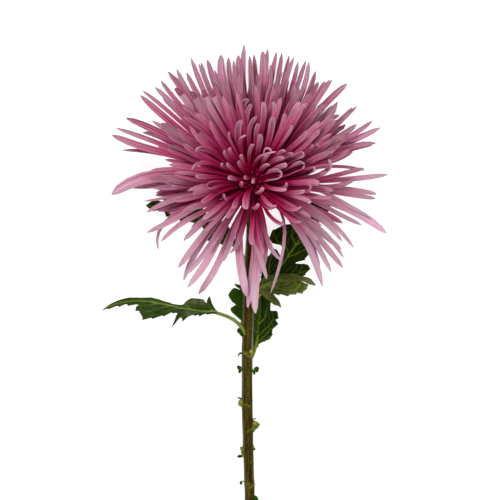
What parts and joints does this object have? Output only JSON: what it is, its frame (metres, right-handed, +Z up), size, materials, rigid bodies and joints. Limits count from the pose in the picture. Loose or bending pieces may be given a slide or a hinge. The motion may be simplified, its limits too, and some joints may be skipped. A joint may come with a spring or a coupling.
{
  "type": "spider chrysanthemum",
  "caption": "Cut spider chrysanthemum lying on its back: a dome of narrow pink-mauve florets on a green cup, a bare brown-green stem and lobed dark green leaves.",
  "frame": {"origin": "middle of the footprint, on the surface that the flower lies on", "axes": "+Z up from the surface, +Y along the stem from its cut end to the bloom, +X to the right of the bloom seen from above"},
  "size_m": [0.1425, 0.2378, 0.0577],
  "materials": {
    "florets": "satin",
    "leaf": "satin",
    "bracts": "matte",
    "stem": "matte"
  },
  "bodies": {
    "root": {"bloom": "florets", "involucre": "bracts", "stem": "stem", "leaf_left": "leaf", "leaf_left_back": "leaf", "leaf_low": "leaf", "leaf_right_mid": "leaf", "leaf_right_upper": "leaf"}
  },
  "joints": []
}
